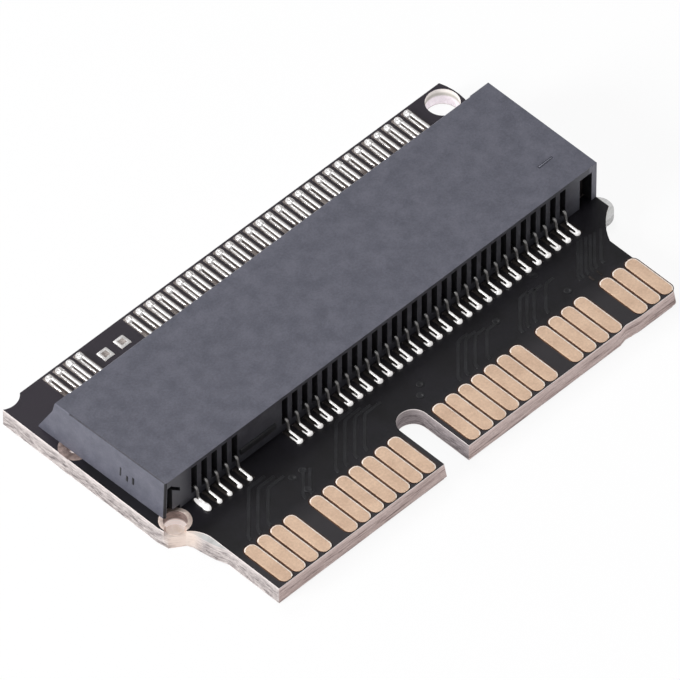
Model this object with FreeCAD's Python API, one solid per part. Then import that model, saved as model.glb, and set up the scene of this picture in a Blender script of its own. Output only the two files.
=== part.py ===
import FreeCAD, Part

import math
import os

from FreeCAD import Vector

# An adapter card for a solid-state drive. A 75-position M-key socket at 0.5 mm pitch stands on
# a small circuit board whose other side is a 12 + 16 position gold card edge.
# All lengths are millimetres. The origin is the centre of the board's wide part, on the
# underside. +X runs along the socket, +Y points out of the socket's mouth, +Z is up.

# Board outline
board_width = 22.15
board_depth = 13.0
board_thickness = 0.8
mask_thickness = 0.03
tongue_left = -10.03
tongue_right = 9.91
tongue_corner = 0.2
shoulder_sag = 0.13
right_shoulder_y = -2.0
right_shoulder_drop = 1.2
left_shoulder = (-10.49, -2.27)
left_shoulder_drop = 0.95
left_corner = (-11.0, -1.93)
left_corner_rise = 0.45
key_notch_x = -1.18
key_notch_width = 1.24
key_notch_length = 2.78
corner_hole_radius = 0.65
corner_hole_x = 10.42
corner_hole_y = 5.75
corner_apex_inset = 0.09
corner_bulge = 0.055
bite_length = 0.98
bite_rise = 0.14
bite_depth = 0.27
tab_stub_radius = 0.62
tab_stub_x = 10.66
tab_stub_y = -1.8
tab_stub_bottom = 0.42
break_line = ((-10.36, -2.55), (-10.3, -3.0), (-10.2, -3.5), (-10.03, -4.0))
chip_x = 7.6
chip_width = 1.0
chip_depth = 0.08

# Card-edge fingers
finger_pitch = 0.65
finger_width = 0.54
finger_length = 2.09
finger_inset = 0.09
finger_bank_gap = 2.24
finger_copper = 0.05
finger_end_flats = 3
left_positions = 12
right_positions = 16

# Plated features
plating = 0.04
ring_pad_radius = 0.61
side_ring_x = -10.51
side_ring_y = 3.28
side_ring_hole_radius = 0.3
corner_ring_x = -10.39
corner_ring_y = -1.665
corner_ring_hole_radius = 0.48
corner_lip_z = 0.56
square_pad_size = 0.48
square_pad_y = 5.66
square_pad_xs = (-6.66, -5.83)

# Socket
socket_x = 0.1
socket_left = -10.73
socket_right = 11.08
socket_height = 1.82
socket_rear_y = -1.365
socket_front_y = 4.11
socket_front_chamfer = 0.05
lower_jaw_front_y = 4.73
end_wall_front_y = 4.9
slot_width = 20.1
slot_height = 0.9
slot_floor = 0.42
slot_back_y = 0.4
slot_lead_in = 0.25
key_pin_x = -6.125
key_rib_width = 1.0
key_rib_front_y = 3.9
contact_pitch = 0.5
pin_1_x = 9.25
channel_width = 0.28
channel_top_skin = 0.17
peg_x = 9.85
peg_y = 2.02
peg_length = 0.7
peg_clearance = 0.05
left_peg_radius = 0.45
right_peg_radius = 0.35

# Contacts and solder
strip_width = 0.2
strip_thickness = 0.12
pad_width = 0.32
pad_thickness = 0.05
rear_pad_y = (-2.22, -1.42)
front_pad_y = (4.87, 6.4)
hold_down_pad_y = (-1.0, 0.35)

# Worked out from the above
half_width = board_width / 2
front_y = board_depth / 2
rear_y = -board_depth / 2
laminate_top = board_thickness - mask_thickness
pad_top = laminate_top + pad_thickness
foot_z = pad_top + strip_thickness / 2
socket_top = board_thickness + socket_height
floor_z = board_thickness + slot_floor
roof_z = floor_z + slot_height
channel_roof = socket_top - channel_top_skin
finger_span = (left_positions + right_positions - 2) * finger_pitch + finger_bank_gap
first_finger_x = socket_x - finger_span / 2
first_right_x = first_finger_x + (left_positions - 1) * finger_pitch + finger_bank_gap
finger_y = (rear_y + finger_inset, rear_y + finger_inset + finger_length)


class Pen:
    # Draws a closed outline from straight runs and three-point arcs.

    def __init__(self, start):
        self.start = start
        self.here = start
        self.edges = []

    def line(self, end):
        self.edges.append(Part.LineSegment(self.here, end).toShape())
        self.here = end

    def arc(self, middle, end):
        self.edges.append(Part.Arc(self.here, middle, end).toShape())
        self.here = end

    def face(self):
        if self.here.distanceToPoint(self.start) > 1e-6:
            self.line(self.start)
        return Part.Face(Part.Wire(self.edges))


def box(x_range, y_range, z_range):
    size = [high - low for low, high in (x_range, y_range, z_range)]
    return Part.makeBox(*size, Vector(x_range[0], y_range[0], z_range[0]))


def around(centre, width):
    return (centre - width / 2, centre + width / 2)


def cylinder(x, y, radius, z_range):
    return Part.makeCylinder(radius, z_range[1] - z_range[0], Vector(x, y, z_range[0]))


def side_profile(points, x_range):
    # A closed Y-Z polygon swept along X.
    pen = Pen(Vector(x_range[0], *points[0]))
    for point in points[1:]:
        pen.line(Vector(x_range[0], *point))
    return pen.face().extrude(Vector(x_range[1] - x_range[0], 0, 0))


def row_of(piece, places):
    return Part.Compound([piece.translated(Vector(x, 0, 0)) for x in places])


# Board

def middle_of_bow(start, end, sag):
    # The middle of an arc that bows to the left of the line from start to end.
    along = (end - start).normalize()
    return (start + end) * 0.5 + Vector(-along.y, along.x, 0) * sag


def board_outline():
    # Goes round clockwise, seen from above, from the left end of the front edge.
    notch_left, notch_right = around(key_notch_x, key_notch_width)
    notch_y = rear_y + key_notch_length - key_notch_width / 2
    bite_end = Vector(-half_width + bite_length, front_y, 0)
    bite_start = Vector(-half_width, front_y - bite_rise, 0)
    bite_middle = (bite_start + bite_end) * 0.5 - Vector(0, bite_depth - bite_rise / 2, 0)

    pen = Pen(bite_start)
    pen.arc(bite_middle, bite_end)
    pen.line(Vector(half_width - corner_apex_inset, front_y, 0))
    bulge_end = Vector(half_width - corner_apex_inset / 2, 2 * corner_hole_y - front_y, 0)
    pen.arc(Vector(half_width + corner_bulge, corner_hole_y, 0), bulge_end)
    shoulder = Vector(half_width, right_shoulder_y, 0)
    pen.line(shoulder)
    tongue = Vector(tongue_right, right_shoulder_y - right_shoulder_drop, 0)
    pen.arc(middle_of_bow(shoulder, tongue, -shoulder_sag), tongue)
    pen.line(Vector(tongue_right, rear_y + tongue_corner, 0))
    corner_middle = tongue_corner * (1 - math.sqrt(0.5))
    pen.arc(
        Vector(tongue_right - corner_middle, rear_y + corner_middle, 0),
        Vector(tongue_right - tongue_corner, rear_y, 0),
    )
    pen.line(Vector(notch_right, rear_y, 0))
    pen.line(Vector(notch_right, notch_y, 0))
    pen.arc(Vector(key_notch_x, notch_y + key_notch_width / 2, 0), Vector(notch_left, notch_y, 0))
    pen.line(Vector(notch_left, rear_y, 0))
    pen.line(Vector(tongue_left, rear_y, 0))
    shoulder = Vector(*left_shoulder, 0)
    tongue = Vector(tongue_left, shoulder.y - left_shoulder_drop, 0)
    pen.line(tongue)
    pen.arc(middle_of_bow(tongue, shoulder, -shoulder_sag), shoulder)
    pen.line(Vector(*left_corner, 0))
    pen.line(Vector(-half_width, left_corner[1] + left_corner_rise, 0))
    return pen.face()


def board_layer(bottom, top):
    layer = board_outline().extrude(Vector(0, 0, top - bottom))
    layer.translate(Vector(0, 0, bottom))
    return layer


def chip_in_edge():
    # A small nick broken out of the tongue's end.
    pen = Pen(Vector(chip_x - chip_width / 2, rear_y, -1))
    pen.line(Vector(chip_x - chip_width / 6, rear_y + chip_depth, -1))
    pen.line(Vector(chip_x + chip_width / 2, rear_y, -1))
    pen.line(Vector(chip_x, rear_y - 1, -1))
    return pen.face().extrude(Vector(0, 0, board_thickness + 2))


def lip_cut():
    # The corner ring broke through to the edge, which left only a low lip in front of it.
    gap = Part.makeBox(1, 0.8, 1, Vector(corner_ring_hole_radius * 0.6, -0.4, corner_lip_z))
    gap.rotate(Vector(0, 0, 0), Vector(0, 0, 1), 225)
    return gap.translated(Vector(corner_ring_x, corner_ring_y, 0))


def through_holes():
    # Everything cut out of all the layers at the laminate's own size.
    through = (-1, board_thickness + 1)
    return [
        cylinder(corner_hole_x, corner_hole_y, corner_hole_radius, through),
        cylinder(side_ring_x, side_ring_y, side_ring_hole_radius, through),
        cylinder(corner_ring_x, corner_ring_y, corner_ring_hole_radius, through),
        cylinder(socket_x - peg_x, peg_y, left_peg_radius + peg_clearance, through),
        cylinder(socket_x + peg_x, peg_y, right_peg_radius + peg_clearance, through),
        chip_in_edge(),
        lip_cut(),
    ]


def left_break():
    # Bare laminate left standing along the left shoulder where the card was broken out.
    inside = tongue_left + 0.4
    points = [left_shoulder] + list(break_line) + [(inside, break_line[-1][1]), (inside, left_shoulder[1])]
    pen = Pen(Vector(*points[0], mask_thickness))
    for point in points[1:]:
        pen.line(Vector(*point, mask_thickness))
    return pen.face().extrude(Vector(0, 0, laminate_top - mask_thickness))


def laminate():
    core = board_layer(mask_thickness, laminate_top)
    stub = cylinder(tab_stub_x, tab_stub_y, tab_stub_radius, (tab_stub_bottom, laminate_top))
    return core.fuse([stub, left_break()]).removeSplitter().cut(through_holes())


def mask_film(bottom, windows):
    film = board_layer(bottom, bottom + mask_thickness)
    return film.cut(through_holes() + windows)


# Card-edge fingers and plating

def finger_shape(bottom, thickness):
    # One finger on X = 0: a strip of copper whose ends are rounded off in a few flats.
    half = finger_width / 2
    corners = []
    for end_y, outward in ((finger_y[1] - half, 1), (finger_y[0] + half, -1)):
        for step in range(finger_end_flats + 1):
            angle = math.pi * step / finger_end_flats
            x = -outward * half * math.cos(angle)
            corners.append(Vector(x, end_y + outward * half * math.sin(angle), bottom))
    outline = Part.makePolygon(corners + corners[:1])
    return Part.Face(outline).extrude(Vector(0, 0, thickness))


def finger_row(first_x, positions, bottom, thickness):
    places = [first_x + position * finger_pitch for position in positions]
    return row_of(finger_shape(bottom, thickness), places)


def plated_hole(x, y, hole_radius):
    # A barrel with a pad on each side of the board, cut off where the board ends.
    inner = hole_radius - plating
    section = [
        (inner, 0),
        (ring_pad_radius, 0),
        (ring_pad_radius, mask_thickness),
        (hole_radius, mask_thickness),
        (hole_radius, laminate_top),
        (ring_pad_radius, laminate_top),
        (ring_pad_radius, board_thickness),
        (inner, board_thickness),
    ]
    pen = Pen(Vector(section[0][0], 0, section[0][1]))
    for radius, z in section[1:]:
        pen.line(Vector(radius, 0, z))
    spool = pen.face().revolve(Vector(0, 0, 0), Vector(0, 0, 1), 360)
    spool.translate(Vector(x, y, 0))
    return spool.common(board_layer(0, board_thickness))


def pad_window(x, y):
    return cylinder(x, y, ring_pad_radius, (-1, board_thickness + 1))


def peg_window(side):
    # The top film stands well clear of the peg holes, under the housing.
    return box(around(socket_x + side * peg_x, 1.3), around(peg_y, 1.3), (laminate_top - 0.01, 1))


def bank_window(first_x, positions):
    # One opening in the bottom film for a whole bank of fingers.
    last_x = first_x + (positions - 1) * finger_pitch
    margin = finger_width / 2
    return box((first_x - margin, last_x + margin), finger_y, (-1, mask_thickness + 1))


# Socket housing

def pin_x(pin):
    return socket_x + pin_1_x - (pin - 1) * contact_pitch / 2


def pins(first, last):
    return [pin_x(pin) for pin in range(first, last + 1, 2)]


upper_long = pins(1, 57)
upper_short = pins(67, 75)
lower_long = pins(2, 58)
lower_short = pins(68, 74)


def jaws():
    # The C-shaped section between the end walls: two jaws and the block behind the slot.
    chamfer = socket_front_chamfer
    section = [
        (socket_rear_y, board_thickness),
        (socket_rear_y, socket_top),
        (socket_front_y - chamfer, socket_top),
        (socket_front_y, socket_top - chamfer),
        (socket_front_y, roof_z + slot_lead_in),
        (socket_front_y - slot_lead_in, roof_z),
        (slot_back_y, roof_z),
        (slot_back_y, floor_z),
        (lower_jaw_front_y - slot_lead_in, floor_z),
        (lower_jaw_front_y, floor_z - slot_lead_in / 2),
        (lower_jaw_front_y, board_thickness),
    ]
    return side_profile(section, around(socket_x, slot_width))


def end_wall(side):
    # The wall's front edge leans back as it rises, then stands upright for the last stretch.
    section = [
        (socket_rear_y, board_thickness),
        (socket_rear_y, socket_top),
        (socket_front_y, socket_top),
        (socket_front_y + 0.06, socket_top - 0.4),
        (end_wall_front_y, board_thickness + 0.06),
        (end_wall_front_y, board_thickness),
    ]
    outer = socket_right if side > 0 else socket_left
    inner = socket_x + side * slot_width / 2
    return side_profile(section, (min(outer, inner), max(outer, inner)))


def key_rib():
    return box(
        around(socket_x + key_pin_x, key_rib_width),
        (slot_back_y, key_rib_front_y),
        (floor_z, roof_z),
    )


def upper_channel():
    # Runs over the slot and down the rear face, where it shows as one slot of the comb.
    section = [
        (socket_rear_y - 0.1, board_thickness + 0.32),
        (socket_rear_y + 0.6, board_thickness + 0.32),
        (socket_rear_y + 0.6, roof_z),
        (socket_front_y - 0.65, roof_z),
        (socket_front_y - 0.65, channel_roof),
        (socket_rear_y - 0.1, channel_roof),
    ]
    return side_profile(section, around(0, channel_width))


def lower_channel():
    # Runs under the slot and out through a low tunnel at the front.
    tunnel_roof = pad_top + strip_thickness + 0.06
    section = [
        (lower_jaw_front_y + 0.1, board_thickness - 0.1),
        (lower_jaw_front_y + 0.1, tunnel_roof),
        (socket_front_y - 0.65, tunnel_roof),
        (socket_front_y - 0.65, floor_z),
        (slot_back_y - 0.35, floor_z),
        (slot_back_y - 0.35, board_thickness - 0.1),
    ]
    return side_profile(section, around(0, channel_width))


def hold_down_recess(side):
    # A pocket in the rear of the end block, open at the bottom over the hold-down's pad.
    depth = (socket_rear_y - 0.1, slot_back_y)
    low = board_thickness - 0.1
    if side > 0:
        return box((socket_x + 10.12, socket_x + 10.73), depth, (low, socket_top - 0.32))
    foot = box((socket_x - 10.57, socket_x - 9.95), depth, (low, pad_top + strip_thickness + 0.06))
    blade = box((socket_x - 10.57, socket_x - 10.34), depth, (low, socket_top - 0.32))
    arm = [(-10.4, -0.32), (-9.95, -0.72), (-9.95, -0.9), (-10.4, -0.5)]
    pen = Pen(Vector(socket_x + arm[0][0], depth[0], socket_top + arm[0][1]))
    for x, z in arm[1:]:
        pen.line(Vector(socket_x + x, depth[0], socket_top + z))
    return blade.fuse([foot, pen.face().extrude(Vector(0, 0.4, 0))])


def peg(side, radius):
    return cylinder(socket_x + side * peg_x, peg_y, radius, (board_thickness - peg_length, floor_z))


def rear_key_rib():
    # A low bar across the blank stretch of the rear face, behind the key.
    return box(
        (pin_x(66), pin_x(59)),
        (socket_rear_y - 0.08, socket_rear_y + 0.1),
        (board_thickness + 0.5, board_thickness + 0.75),
    )


def pin_1_mark():
    # A shallow moulded tick on the top, over pin 1.
    return box(
        (pin_x(1) + 0.07, pin_x(1) + 0.8),
        (socket_rear_y + 1.24, socket_rear_y + 1.36),
        (socket_top - 0.04, socket_top + 1),
    )


def housing():
    body = jaws().fuse([end_wall(-1), end_wall(1), key_rib(), rear_key_rib()])
    body = body.fuse([peg(-1, left_peg_radius), peg(1, right_peg_radius)]).removeSplitter()
    upper = row_of(upper_channel(), upper_long + upper_short)
    lower = row_of(lower_channel(), lower_long + lower_short)
    return body.cut([upper, lower, hold_down_recess(-1), hold_down_recess(1), pin_1_mark()])


# Contacts

def bent_strip(spine, width):
    # A flat strip bent along a Y-Z spine, on X = 0, with mitred bends.
    points = [Vector(0, y, z) for y, z in spine]
    runs = [(b - a).normalize() for a, b in zip(points, points[1:])]
    sides = []
    for before, after in zip([runs[0]] + runs, runs + [runs[-1]]):
        mean = (before + after).normalize()
        reach = strip_thickness / 2 / mean.dot(before)
        sides.append(Vector(0, -mean.z, mean.y) * reach)
    left = [point + side for point, side in zip(points, sides)]
    right = [point - side for point, side in zip(points, sides)]
    outline = [(point.y, point.z) for point in left + right[::-1]]
    return side_profile(outline, around(0, width))


def upper_contact():
    # Foot on the rear pad, up inside the comb slot, then a spring beam over the slot.
    beam_z = channel_roof - 0.12
    tail_z = foot_z + 0.58
    stem_y = socket_rear_y + 0.27
    spine = [
        (rear_pad_y[0] + 0.08, foot_z),
        (socket_rear_y - 0.22, foot_z),
        (socket_rear_y - 0.12, tail_z),
        (stem_y, tail_z),
        (stem_y, beam_z),
        (2.55, roof_z - 0.1),
        (3.15, roof_z + 0.1),
    ]
    return bent_strip(spine, strip_width)


def lower_contact():
    # A hairpin: from the front pad back under the slot, round, and forward as a spring beam.
    beam_z = floor_z - 0.1
    spine = [
        (front_pad_y[1] - 0.08, foot_z),
        (slot_back_y - 0.15, foot_z),
        (slot_back_y - 0.15, beam_z),
        (2.6, floor_z + 0.16),
        (3.15, floor_z),
    ]
    return bent_strip(spine, strip_width)


def tinned_pad(y_range):
    return box(around(0, pad_width), y_range, (laminate_top, pad_top))


def solder_wedge(toe_y, reach):
    # A fillet from the end of a foot down to its pad.
    section = [(toe_y, pad_top), (toe_y, pad_top + strip_thickness), (toe_y + reach, pad_top)]
    return side_profile(section, around(0, strip_width))


def hold_down(side):
    # An angle of sheet metal: a blade up inside the end block and a foot on the board.
    blade = (socket_x + side * 10.485, strip_thickness)
    foot_end = socket_x - 10.0
    if side > 0:
        blade = (socket_x + 10.62, strip_thickness)
        foot_end = socket_x + 10.2
    depth = (hold_down_pad_y[0] + 0.05, hold_down_pad_y[1] - 0.05)
    low, high = around(*blade)
    upright = box((low, high), depth, (pad_top, socket_top - 0.75))
    foot = box((min(low, foot_end), max(high, foot_end)), depth, (pad_top, pad_top + strip_thickness))
    return upright.fuse(foot).removeSplitter()


def hold_down_pad(side):
    x_range = (socket_x - 10.56, socket_x - 9.96)
    if side > 0:
        x_range = (socket_x + 10.14, socket_x + 10.72)
    return box(x_range, hold_down_pad_y, (laminate_top, pad_top))


def square_pad():
    return box(around(0, square_pad_size), around(square_pad_y, square_pad_size), (laminate_top, pad_top))


def build():
    nodes = {}

    top_groups = {
        "top_fingers_left_outer": (first_finger_x, range(0, 4)),
        "top_fingers_left_inner": (first_finger_x, range(5, 12)),
        "top_fingers_right_inner": (first_right_x, range(0, 7)),
        "top_fingers_right_middle": (first_right_x, range(8, 12)),
        "top_fingers_right_outer": (first_right_x, range(13, 16)),
    }
    for name, (first_x, positions) in top_groups.items():
        nodes[name] = finger_row(first_x, positions, laminate_top, finger_copper)
    nodes["bottom_fingers_left"] = finger_row(first_finger_x, range(left_positions), 0, mask_thickness)
    nodes["bottom_fingers_right"] = finger_row(first_right_x, range(right_positions), 0, mask_thickness)
    top_fingers = [nodes[name] for name in top_groups]
    bank_windows = [
        bank_window(first_finger_x, left_positions),
        bank_window(first_right_x, right_positions),
    ]

    rear_pad = tinned_pad(rear_pad_y)
    front_pad = tinned_pad(front_pad_y)
    nodes["rear_pads_long_bank"] = row_of(rear_pad, upper_long)
    nodes["rear_pads_short_bank"] = row_of(rear_pad, upper_short)
    nodes["front_pads_long_bank"] = row_of(front_pad, lower_long)
    nodes["front_pads_short_bank"] = row_of(front_pad, lower_short)
    nodes["square_pads"] = row_of(square_pad(), square_pad_xs)
    nodes["hold_down_pads"] = Part.Compound([hold_down_pad(-1), hold_down_pad(1)])
    pads = [nodes[name] for name in nodes if "pads" in name]

    nodes["side_ring"] = plated_hole(side_ring_x, side_ring_y, side_ring_hole_radius)
    corner_ring = plated_hole(corner_ring_x, corner_ring_y, corner_ring_hole_radius)
    nodes["shoulder_half_hole"] = corner_ring.cut(lip_cut())
    rings = [pad_window(side_ring_x, side_ring_y), pad_window(corner_ring_x, corner_ring_y)]

    nodes["board_laminate"] = laminate()
    peg_windows = [peg_window(-1), peg_window(1)]
    nodes["solder_mask_top"] = mask_film(laminate_top, top_fingers + pads + rings + peg_windows)
    nodes["solder_mask_bottom"] = mask_film(0, bank_windows + rings)

    nodes["socket_housing"] = housing()
    nodes["upper_contacts_long_bank"] = row_of(upper_contact(), upper_long)
    nodes["upper_contacts_short_bank"] = row_of(upper_contact(), upper_short)
    nodes["lower_contacts_long_bank"] = row_of(lower_contact(), lower_long)
    nodes["lower_contacts_short_bank"] = row_of(lower_contact(), lower_short)
    nodes["hold_down_left"] = hold_down(-1)
    nodes["hold_down_right"] = hold_down(1)

    rear_solder = solder_wedge(rear_pad_y[0] + 0.08, -0.07)
    front_solder = solder_wedge(front_pad_y[1] - 0.08, 0.07)
    nodes["rear_solder_long_bank"] = row_of(rear_solder, upper_long)
    nodes["rear_solder_short_bank"] = row_of(rear_solder, upper_short)
    nodes["front_solder_long_bank"] = row_of(front_solder, lower_long)
    nodes["front_solder_short_bank"] = row_of(front_solder, lower_short)
    return nodes


os.makedirs("parts", exist_ok=True)
for name, shape in build().items():
    print(name, len(shape.Solids), "solids", round(shape.Volume, 4), "mm3", shape.isValid())
    shape.exportStep("parts/" + name + ".step")
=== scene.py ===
import math

import bmesh
import bpy
from mathutils import Matrix, Vector


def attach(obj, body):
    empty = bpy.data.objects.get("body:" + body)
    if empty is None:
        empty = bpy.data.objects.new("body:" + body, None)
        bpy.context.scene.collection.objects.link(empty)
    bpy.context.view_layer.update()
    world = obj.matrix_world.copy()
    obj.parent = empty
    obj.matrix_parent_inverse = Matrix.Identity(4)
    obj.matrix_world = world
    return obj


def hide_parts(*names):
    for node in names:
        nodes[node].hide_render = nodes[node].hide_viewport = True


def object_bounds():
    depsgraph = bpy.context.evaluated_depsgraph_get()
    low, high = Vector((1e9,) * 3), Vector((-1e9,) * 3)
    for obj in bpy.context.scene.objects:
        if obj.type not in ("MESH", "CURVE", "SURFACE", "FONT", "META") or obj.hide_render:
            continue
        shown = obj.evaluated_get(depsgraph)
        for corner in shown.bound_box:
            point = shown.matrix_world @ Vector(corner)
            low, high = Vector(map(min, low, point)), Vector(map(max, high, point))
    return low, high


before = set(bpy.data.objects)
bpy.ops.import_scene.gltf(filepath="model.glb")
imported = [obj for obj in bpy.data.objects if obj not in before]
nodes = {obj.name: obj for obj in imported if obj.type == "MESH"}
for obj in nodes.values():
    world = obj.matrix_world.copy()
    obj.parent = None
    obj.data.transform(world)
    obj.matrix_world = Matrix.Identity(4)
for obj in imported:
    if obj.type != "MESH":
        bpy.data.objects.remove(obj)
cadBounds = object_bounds()
mm = 0.001   # the settings of each piece and finish are in millimetres
sameSpot = 0.0004 * mm   # corners closer than this are one
hair = 0.001 * mm   # how far a face or edge may lie from where it is looked for
boardTop = 0.8   # the height of the socket side
print("frame loaded:", len(nodes), "nodes")


def wire(tree, source, target):
    tree.links.new(source, target)


def addNode(tree, kind, **settings):
    node = tree.nodes.new(kind)
    for key, value in settings.items():
        if key in ("operation", "blend_type", "data_type"):
            setattr(node, key, value)
        else:
            node.inputs[key].default_value = value
    return node


cardView = {   # angles in degrees, distance in metres
    "azimuth": -44.898,
    "elevation": 48.476,
    "distance": 0.634,
    "lens": 942.88,
    "target": (-0.1706 * mm, 0.3598 * mm, 0.6358 * mm),
}


def placeCamera(view):
    azimuth = math.radians(view["azimuth"])
    elevation = math.radians(view["elevation"])
    back = Vector((
        math.sin(azimuth) * math.cos(elevation),
        -math.cos(azimuth) * math.cos(elevation),
        math.sin(elevation),
    ))
    bpy.ops.object.camera_add(location=Vector(view["target"]) + back * view["distance"])
    camera = bpy.context.object
    camera.name = "cardCamera"
    camera.rotation_euler = (math.pi / 2 - elevation, 0, azimuth)
    camera.data.lens = view["lens"]
    camera.data.clip_start = 0.01
    camera.data.clip_end = 10
    bpy.context.scene.camera = camera


floorLook = {
    "size": 1.2,   # metres
    "gap": 0.01 * mm,
    "color": (0.86, 0.86, 0.87),
    "shadowKept": 0.12,   # how much of the real shading the camera sees
}


def layFloor(look):
    lowest = cadBounds[0][2]
    bpy.ops.mesh.primitive_plane_add(size=look["size"], location=(0, 0, lowest - look["gap"]))
    floor = bpy.context.object
    floor.name = "floor"
    material = bpy.data.materials.new("paleFloor")
    material.use_nodes = True
    tree = material.node_tree
    shader = tree.nodes["Principled BSDF"]
    shader.inputs["Base Color"].default_value = (*look["color"], 1)
    shader.inputs["Roughness"].default_value = 0.9
    paper = addNode(tree, "ShaderNodeEmission")   # plain white where the floor is looked at
    rays = addNode(tree, "ShaderNodeLightPath")
    seen = addNode(tree, "ShaderNodeMath", operation="MAXIMUM")
    seenAll = addNode(tree, "ShaderNodeMath", operation="MAXIMUM")
    share = addNode(tree, "ShaderNodeMath", operation="MULTIPLY")
    share.inputs[1].default_value = 1 - look["shadowKept"]
    blend = addNode(tree, "ShaderNodeMixShader")
    wire(tree, rays.outputs["Is Camera Ray"], seen.inputs[0])
    wire(tree, rays.outputs["Is Glossy Ray"], seen.inputs[1])
    wire(tree, seen.outputs[0], seenAll.inputs[0])
    wire(tree, rays.outputs["Is Transmission Ray"], seenAll.inputs[1])
    wire(tree, seenAll.outputs[0], share.inputs[0])
    wire(tree, share.outputs[0], blend.inputs["Fac"])
    wire(tree, shader.outputs["BSDF"], blend.inputs[1])
    wire(tree, paper.outputs["Emission"], blend.inputs[2])
    wire(tree, blend.outputs[0], tree.nodes["Material Output"].inputs["Surface"])
    floor.data.materials.append(material)


lamps = {   # metres and watts; each lamp looks at the middle of the card
    "keyLamp": {"place": (-0.32, 0.08, 0.13), "size": 0.16, "power": 1.28},
    "topLamp": {"place": (-0.05, 0.01, 0.38), "size": 0.14, "power": 0.52},
    "backLamp": {"place": (0.06, 0.30, 0.30), "size": 0.20, "power": 0.34},
}
roomStrength = 0.30


def lightScene():
    for name, look in lamps.items():
        bpy.ops.object.light_add(type="AREA", location=look["place"])
        lamp = bpy.context.object
        lamp.name = name
        lamp.data.shape = "DISK"
        lamp.data.size = look["size"]
        lamp.data.energy = look["power"]
        lamp.rotation_euler = Vector(look["place"]).to_track_quat("Z", "Y").to_euler()
    world = bpy.data.worlds.new("softRoom")
    bpy.context.scene.world = world
    world.use_nodes = True
    background = world.node_tree.nodes["Background"]
    background.inputs["Color"].default_value = (1, 1, 1, 1)
    background.inputs["Strength"].default_value = roomStrength


placeCamera(cardView)
layFloor(floorLook)
lightScene()
bpy.context.scene.view_settings.view_transform = "Standard"
print("stage set")


def buildGrain():
    # Speckle and slow mottle over a surface, in millimetres.
    tree = bpy.data.node_groups.new("surfaceGrain", "ShaderNodeTree")
    face = tree.interface
    inputs = {"Speckle per mm": 12.0, "Mottle per mm": 1.2, "Stretch X": 1.0, "Stretch Z": 1.0}
    for name, value in inputs.items():
        face.new_socket(name=name, in_out="INPUT", socket_type="NodeSocketFloat").default_value = value
    for name in ("Speckle", "Mottle"):
        face.new_socket(name=name, in_out="OUTPUT", socket_type="NodeSocketFloat")
    perMetre = 1 / mm
    start = tree.nodes.new("NodeGroupInput")
    end = tree.nodes.new("NodeGroupOutput")
    place = tree.nodes.new("ShaderNodeTexCoord")
    stretch = tree.nodes.new("ShaderNodeCombineXYZ")
    stretch.inputs["Y"].default_value = perMetre
    inMm = addNode(tree, "ShaderNodeVectorMath", operation="MULTIPLY")
    for axis in ("X", "Z"):
        scale = addNode(tree, "ShaderNodeMath", operation="MULTIPLY")
        scale.inputs[1].default_value = perMetre
        wire(tree, start.outputs["Stretch " + axis], scale.inputs[0])
        wire(tree, scale.outputs[0], stretch.inputs[axis])
    wire(tree, place.outputs["Object"], inMm.inputs[0])
    wire(tree, stretch.outputs[0], inMm.inputs[1])
    for socket, detail in (("Speckle", 3.0), ("Mottle", 4.0)):
        noise = addNode(tree, "ShaderNodeTexNoise", Detail=detail, Roughness=0.6)
        wire(tree, inMm.outputs[0], noise.inputs["Vector"])
        wire(tree, start.outputs[socket + " per mm"], noise.inputs["Scale"])
        wire(tree, noise.outputs["Fac"], end.inputs[socket])
    return tree


grainGroup = buildGrain()


def newFinish(name, roughness, metallic):
    material = bpy.data.materials.new(name)
    material.use_nodes = True
    tree = material.node_tree
    shader = tree.nodes["Principled BSDF"]
    shader.inputs["Roughness"].default_value = roughness
    shader.inputs["Metallic"].default_value = metallic
    return material, tree, shader


def placeGrain(tree, speckle, mottle, stretchX=1.0, stretchZ=1.0):
    grain = tree.nodes.new("ShaderNodeGroup")
    grain.node_tree = grainGroup
    grain.inputs["Speckle per mm"].default_value = speckle
    grain.inputs["Mottle per mm"].default_value = mottle
    grain.inputs["Stretch X"].default_value = stretchX
    grain.inputs["Stretch Z"].default_value = stretchZ
    return grain


def ramp(tree, source, stops):
    node = tree.nodes.new("ShaderNodeValToRGB")
    band = node.color_ramp
    while len(band.elements) < len(stops):
        band.elements.new(0.5)
    for element, (position, color) in zip(band.elements, stops):
        element.position = position
        element.color = (*color, 1)
    wire(tree, source, node.inputs["Fac"])
    return node


def fadeInto(tree, color, other, source, start, end, share=1.0):
    # Mixes in another colour as a value goes from start to end.
    reach = addNode(tree, "ShaderNodeMapRange")
    reach.inputs["From Min"].default_value = start
    reach.inputs["From Max"].default_value = end
    reach.inputs["To Max"].default_value = share
    blend = addNode(tree, "ShaderNodeMix", data_type="RGBA", blend_type="MIX")
    blend.inputs["B"].default_value = (*other, 1)
    wire(tree, source, reach.inputs["Value"])
    wire(tree, reach.outputs["Result"], blend.inputs["Factor"])
    wire(tree, color, blend.inputs["A"])
    return blend.outputs["Result"]


def gradeAlong(tree, color, axis, start, end, other, share=1.0):
    # Fades into another colour between two places along an axis, in millimetres.
    place = tree.nodes.new("ShaderNodeTexCoord")
    split = tree.nodes.new("ShaderNodeSeparateXYZ")
    wire(tree, place.outputs["Object"], split.inputs[0])
    return fadeInto(tree, color, other, split.outputs[axis], start * mm, end * mm, share)


def gradeRound(tree, color, centre, near, far, other, share=1.0):
    # Fades into another colour towards one place, in millimetres.
    place = tree.nodes.new("ShaderNodeTexCoord")
    away = addNode(tree, "ShaderNodeVectorMath", operation="DISTANCE")
    away.inputs[1].default_value = Vector(centre) * mm
    wire(tree, place.outputs["Object"], away.inputs[0])
    return fadeInto(tree, color, other, away.outputs["Value"], far * mm, near * mm, share)


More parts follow.
